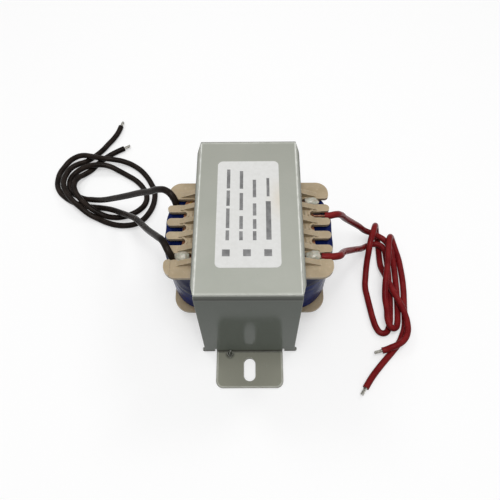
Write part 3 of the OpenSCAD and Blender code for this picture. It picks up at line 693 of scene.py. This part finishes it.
# Columns of plain bars in place of the print: middle along X, half width, then each bar's start and
# end along Y.
PRINT_COLUMNS = (
    (-7.6, 0.65, ((-12.4, -8.2), (-7.2, 1.4), (2.6, 9.6), (10.6, 19.6))),
    (-2.6, 0.65, ((-12.4, -8.6), (-7.6, -2.0), (0.6, 8.4), (10.4, 18.8))),
    (2.4, 0.65, ((-12.4, -8.6), (-7.6, -3.4), (-1.8, 3.6), (6.4, 14.6))),
    (7.6, 0.95, ((-12.2, 4.6),)),
    (7.6, 0.55, ((6.8, 15.4),)),
)
# Plain squares below the bars: their middles along X and Y, and half their side.
SEAL_MARKS = (-8.0, -0.4, 7.2)
SEAL_Y = -17.6
SEAL_HALF = 1.4
# How far the ink stands out of the paper and reaches into it.
PRINT_LIFT = 0.03
PRINT_SINK = 0.02


def add_bar(bm, x_low, x_high, y_low, y_high):
    """A low flat bar on the label's face."""
    z_low, z_high = LABEL_HIGH.z - PRINT_SINK, LABEL_HIGH.z + PRINT_LIFT
    corners = ((x_low, y_low), (x_high, y_low), (x_high, y_high), (x_low, y_high))
    low = [bm.verts.new(Vector((x, y, z_low)) * MM) for x, y in corners]
    high = [bm.verts.new(corner.co + Vector((0, 0, (z_high - z_low) * MM))) for corner in low]
    bm.faces.new(low[::-1])
    bm.faces.new(high)
    for k in range(4):
        bm.faces.new((low[k], low[(k + 1) % 4], high[(k + 1) % 4], high[k]))


def print_label():
    """Plain grey bars and squares: no letters, no numbers."""
    bm = bmesh.new()
    middle_y = (LABEL_LOW.y + LABEL_HIGH.y) / 2
    for x, half, bars in PRINT_COLUMNS:
        for start, stop in bars:
            add_bar(bm, x - half, x + half, middle_y + start, middle_y + stop)
    for x in SEAL_MARKS:
        y = middle_y + SEAL_Y
        add_bar(bm, x - SEAL_HALF, x + SEAL_HALF, y - SEAL_HALF, y + SEAL_HALF)
    show(mesh_piece("label_print", bm, smooth=False), INK, "label_film")
    show(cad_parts["rating_label"], LABEL, "label_film")


# ---- Bobbin and coil ----

def dress_bobbin():
    moulding = ease_edges(mesh_piece("bobbin_moulding", cad_form("bobbin")), BOBBIN_EASE)
    show(moulding, NYLON, "bobbin_nylon", "bobbin")


# Steps to each quarter of an outline, and the last place before the next quarter begins.
QUARTER_STEPS = 60
QUARTER_END = 0.999999


def loop_point(turn, half_x, half_y, round_x, round_y):
    """A point of a rounded outline. turn goes from 0 to 4, one quarter for each corner."""
    quarter = int(turn) % 4
    angle = math.radians(90 * (turn % 4))
    side_x = 1 if quarter in (0, 3) else -1
    side_y = 1 if quarter in (0, 1) else -1
    return Vector((
        side_x * (half_x - round_x) + round_x * math.cos(angle),
        side_y * (half_y - round_y) + round_y * math.sin(angle),
    ))


def even_turns(count, half_x, half_y, round_x, round_y):
    """Turns of points that lie evenly round the outline, straight runs included."""
    fine = []
    for quarter in range(4):
        fine += [quarter + k / QUARTER_STEPS for k in range(QUARTER_STEPS)] + [quarter + QUARTER_END]
    spots = [loop_point(turn, half_x, half_y, round_x, round_y) for turn in fine]
    spots.append(spots[0])
    reach = [0.0]
    for a, b in zip(spots, spots[1:]):
        reach.append(reach[-1] + (b - a).length)
    places = []
    k = 0
    for i in range(count):
        goal = reach[-1] * i / count
        while reach[k + 1] < goal:
            k += 1
        part = (goal - reach[k]) / max(reach[k + 1] - reach[k], 1e-9)
        places.append((k, part))
    return places, fine


def outline_ring(places, fine, half_x, half_y, round_x, round_y):
    """Points of an outline at places that were spread evenly round another one."""
    ring = []
    for k, part in places:
        first = loop_point(fine[k], half_x, half_y, round_x, round_y)
        second = loop_point(fine[(k + 1) % len(fine)], half_x, half_y, round_x, round_y)
        ring.append(first.lerp(second, part))
    return ring


# Half axes of the tape's round corners, and the radius of the coil's.
WRAP_ROUND = (14.4, 17.0)
COIL_ROUND = 8.7
COIL_FIT = 0.05
# How far the film is folded in over the top of the coil.
FOLD_IN = 2.1
WRAP_POINTS = 260
WRAP_ROWS = 34
# The film's form: its bulge half way up, how far it lies below the outline, how far and how high it is
# rounded in at its rims, and how far the second wrap stands out.
BULGE = 0.25
SLACK = 0.45
RIM_TUCK = 0.9
RIM_ROUND = 1.6
WRAP_STEP = 0.16
# How deep the film's wrinkles and its finer creases are.
WRINKLE = 0.3
CREASE = 0.1
# The second wrap's lower edge: its height, its climb to the right near corner, and how far it wavers.
COVER_LOW = 29.0
COVER_CLIMB = 9.0
COVER_WAVER = 0.8
# The film keeps this far from the coil, and moves in by no more than this.
FILM_GAP = 0.3
MOST_IN = 2.0
# Half the width of the dark line along that edge.
SEAM_HALF = 0.5
# How far the folded film lies above the tape's top, how far its inner wall ends below it, and how dark
# the painted shade on the folded film is there.
FOLD_UP = 0.03
FOLD_DOWN = 0.02
FOLD_SHADE = 0.75


def cover_edge(x, y):
    """Height of the second wrap's lower edge round the coil: it climbs towards the right near corner."""
    climb = max(0.0, x) * max(0.0, -y) / (TAPE_HIGH.x * TAPE_HIGH.y)
    return COVER_LOW + COVER_CLIMB * climb + COVER_WAVER * math.sin(0.21 * x + 0.13 * y)


def film_shift(x, y, z, up):
    """How far the film lies out from its outline. up goes from 0 at its lower rim to 1 at its upper one."""
    rim = min(z - TAPE_LOW.z, TAPE_HIGH.z - z)
    tuck = RIM_TUCK * max(0.0, 1 - rim / RIM_ROUND) ** 2
    wrinkle = noise.noise(Vector((x * 0.16, y * 0.16, z * 0.42))) * WRINKLE
    crease = noise.noise(Vector((x * 0.5 + 40, y * 0.5, z * 1.3))) * CREASE
    bulge = BULGE * math.sin(math.pi * up)
    step = WRAP_STEP if z > cover_edge(x, y) else 0.0
    return bulge - SLACK - tuck + wrinkle + crease + step


def wrap_rows():
    """The tape's rows of points from its lower rim round, how covered each point is, and how dark its seam
    line and the painted shade on the folded film are there.
    """
    half_x, half_y = TAPE_HIGH.x, TAPE_HIGH.y
    coil_x, coil_y = COIL_HIGH.x, COIL_HIGH.y
    places, fine = even_turns(WRAP_POINTS, half_x, half_y, *WRAP_ROUND)
    outer = outline_ring(places, fine, half_x, half_y, *WRAP_ROUND)
    inner = outline_ring(places, fine, coil_x + COIL_FIT, coil_y + COIL_FIT, COIL_ROUND, COIL_ROUND)
    fold_r = COIL_ROUND - FOLD_IN
    folded = outline_ring(places, fine, coil_x - FOLD_IN, coil_y - FOLD_IN, fold_r, fold_r)
    z_low, z_high = TAPE_LOW.z, TAPE_HIGH.z
    rows = []
    cover = []
    seams_and_fold_shade = []
    # Outer face from the bottom up, rounded in at both rims.
    for r in range(WRAP_ROWS + 1):
        up = r / WRAP_ROWS
        z = z_low + (z_high - z_low) * up
        row = []
        for k, spot in enumerate(outer):
            out = (spot - inner[k]).normalized()
            room = min((spot - inner[k]).length - FILM_GAP, MOST_IN)
            shift = min(0.0, film_shift(spot.x, spot.y, z, up))
            row.append((spot + out * max(-room, shift), z))
        rows.append(row)
        edges = [cover_edge(spot.x, spot.y) for spot in outer]
        cover.append([1.0 if z > edge else 0.0 for edge in edges])
        seams_and_fold_shade.append([math.exp(-((z - edge) / SEAM_HALF) ** 2) for edge in edges])
    # Film folded in over the coil's upper rim, under the comb, and back down inside.
    rim = [spot for spot, z in rows[WRAP_ROWS]]
    for part in (0.35, 0.7, 1.0):
        rows.append([(spot.lerp(folded[k], part), z_high + FOLD_UP) for k, spot in enumerate(rim)])
    for under in (folded, inner):
        rows.append([(spot, z_high - FOLD_DOWN) for spot in under])
    rows.append([(spot, z_low) for spot in inner])
    # Painted shade on the folded film.
    while len(cover) < len(rows):
        cover.append([0.0] * WRAP_POINTS)
        seams_and_fold_shade.append([FOLD_SHADE] * WRAP_POINTS)
    return rows, cover, seams_and_fold_shade


def wrap_tape():
    """The blue tape round the coil: two wraps of film that bulge, wrinkle and fold over the coil's rim."""
    bm = bmesh.new()
    wrap_layer = bm.verts.layers.float.new("wrap")
    seam_and_fold_shade_layer = bm.verts.layers.float.new("seam_and_fold_shade")
    grid = []
    for row, marks, lines in zip(*wrap_rows()):
        ring = []
        for (spot, z), mark, line in zip(row, marks, lines):
            vert = bm.verts.new(Vector((spot.x, spot.y, z)) * MM)
            vert[wrap_layer] = mark
            vert[seam_and_fold_shade_layer] = line
            ring.append(vert)
        grid.append(ring)
    grid.append(grid[0])
    for low, high in zip(grid, grid[1:]):
        for k in range(WRAP_POINTS):
            after = (k + 1) % WRAP_POINTS
            bm.faces.new((low[k], low[after], high[after], high[k]))
    show(mesh_piece("tape_wrap", bm), BLUE_TAPE, "blue_tape", "outer_tape")


def dress_coil():
    for node in ("primary_winding", "secondary_winding", "magnet_wire_end_1", "magnet_wire_end_2"):
        show(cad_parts[node], COPPER, "enamelled_copper")
    show(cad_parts["interwinding_tape"], AMBER_TAPE, "amber_tape")
    wrap_tape()


# ---- Glue ----

# How far below the comb's top a drop's middle lies, how deep it reaches from there, how much narrower it
# is inside its slot, and over what depth it narrows.
GLUE_DROP = 0.1
GLUE_DEPTH = 1.0
GLUE_SQUEEZE = 0.52
GLUE_NECK = 0.25


def glue_blob(name, node, spread, pull, seed):
    """A set drop of hot-melt glue. spread is its half sizes, pull is how far it is drawn out along X."""
    low, high = box_mm(node)
    middle = Vector(((low.x + high.x) / 2, (low.y + high.y) / 2, COMB_TOP - GLUE_DROP))
    bm = bmesh.new()
    bmesh.ops.create_icosphere(bm, subdivisions=5, radius=1.0)
    for vert in bm.verts:
        way = vert.co.copy()
        # Broad lumps and smaller ones.
        lump = 1 + 0.16 * noise.noise(way * 1.3 + Vector((seed, 0, 0)))
        lump += 0.05 * noise.noise(way * 3.2 + Vector((0, seed, 0)))
        place = Vector((way.x * spread[0], way.y * spread[1], way.z * spread[2])) * lump
        if place.z < 0:
            # Below the comb's top it fills only the slot.
            place.y *= 1 - GLUE_SQUEEZE * min(1.0, -place.z / GLUE_NECK)
            place.z = max(place.z, -GLUE_DEPTH)
        place.x += pull * max(0.0, 1 - abs(way.z)) * way.x ** 2
        vert.co = (middle + place) * MM
    show(mesh_piece(name, bm), GLUE, "hot_melt", node)


def set_glue():
    glue_blob("glue_blob_1", "glue_dot_1", (2.9, 1.9, 1.5), 0.5, 3.0)
    glue_blob("glue_blob_2", "glue_dot_2", (2.8, 2.3, 1.6), -0.6, 8.0)
    glue_blob("glue_blob_3", "glue_dot_3", (2.9, 2.1, 1.6), -0.5, 15.0)


dress_frame()
dress_core()
print_label()
dress_bobbin()
dress_coil()
set_glue()


# ---- Floor and light ----

# The floor's half width in metres.
FLOOR_HALF = 3
# Grey of the paper as the object is lit by it, and as it is seen or mirrored, where it also glows.
PAPER_LIT = 0.36
PAPER_SEEN = 0.56
PAPER_GLOW = 0.48
# Strength of the room where it is seen or mirrored: nearly white, as the floor is.
ROOM_SEEN = 0.97
LAMP_AIM = Vector((0, 0, 0.03))


def link_math(tree, operation, first, second):
    """A Math node of a socket with a number or another socket."""
    made = tree.nodes.new("ShaderNodeMath")
    made.operation = operation
    tree.links.new(first, made.inputs[0])
    if isinstance(second, bpy.types.NodeSocket):
        tree.links.new(second, made.inputs[1])
    else:
        made.inputs[1].default_value = second
    return made.outputs[0]


def seen_rays(tree):
    """1 for rays from the camera and in reflections, 0 for light that falls on things."""
    rays = tree.nodes.new("ShaderNodeLightPath").outputs
    seen = link_math(tree, "MAXIMUM", rays["Is Camera Ray"], rays["Is Glossy Ray"])
    return link_math(tree, "MAXIMUM", seen, rays["Is Transmission Ray"])


def add_floor():
    """White paper: it takes the object's shadow, and looks white to the camera and in reflections."""
    bm = bmesh.new()
    bmesh.ops.create_grid(bm, x_segments=1, y_segments=1, size=FLOOR_HALF)
    floor = mesh_piece("floor", bm)
    made = bpy.data.materials.new("floor")
    made.use_nodes = True
    tree = made.node_tree
    shader = tree.nodes["Principled BSDF"]
    shader.inputs["Roughness"].default_value = 0.8
    shader.inputs["Specular IOR Level"].default_value = 0.1
    seen = seen_rays(tree)
    paper = tree.nodes.new("ShaderNodeMix")
    paper.data_type = "RGBA"
    tree.links.new(seen, paper.inputs[MIX_FACTOR])
    paper.inputs[MIX_FIRST].default_value = (PAPER_LIT, PAPER_LIT, PAPER_LIT, 1)
    paper.inputs[MIX_SECOND].default_value = (PAPER_SEEN, PAPER_SEEN, PAPER_SEEN, 1)
    tree.links.new(paper.outputs[MIX_RESULT], shader.inputs["Base Color"])
    shader.inputs["Emission Color"].default_value = (1, 1, 1, 1)
    tree.links.new(link_math(tree, "MULTIPLY", seen, PAPER_GLOW), shader.inputs["Emission Strength"])
    floor.data.materials.append(made)


def add_light(name, place, size, power):
    """A soft box that faces the object. place and size are in metres, power is in watts."""
    light = bpy.data.lights.new(name, "AREA")
    light.shape = "RECTANGLE"
    light.size, light.size_y = size
    light.energy = power
    lamp = bpy.data.objects.new(name, light)
    lamp.location = place
    lamp.rotation_euler = (LAMP_AIM - Vector(place)).to_track_quat("-Z", "Y").to_euler()
    bpy.context.scene.collection.objects.link(lamp)


def add_world():
    """A room that lights the object softly: bright overhead, darker towards the horizon."""
    world = bpy.data.worlds.new("room")
    world.use_nodes = True
    tree = world.node_tree
    way = tree.nodes.new("ShaderNodeTexCoord").outputs["Generated"]
    split = tree.nodes.new("ShaderNodeSeparateXYZ")
    tree.links.new(way, split.inputs[0])
    level = tree.nodes.new("ShaderNodeMapRange")
    for socket, value in (("From Min", 0.1), ("From Max", 0.9), ("To Min", 0.07), ("To Max", 0.42)):
        level.inputs[socket].default_value = value
    tree.links.new(split.outputs[2], level.inputs["Value"])
    glow = link_math(tree, "MULTIPLY", seen_rays(tree), ROOM_SEEN)
    back = tree.nodes["Background"]
    back.inputs["Color"].default_value = (1, 1, 1, 1)
    tree.links.new(link_math(tree, "MAXIMUM", level.outputs[0], glow), back.inputs["Strength"])
    bpy.context.scene.world = world


add_floor()
add_light("overhead_light", (0, -0.12, 0.85), (0.42, 0.42), 3.5)
add_light("left_light", (-0.42, 0.46, 0.76), (0.2, 0.3), 1.0)
add_light("right_light", (0.42, 0.46, 0.76), (0.2, 0.3), 1.0)
add_world()
bpy.context.scene.view_settings.view_transform = "Standard"
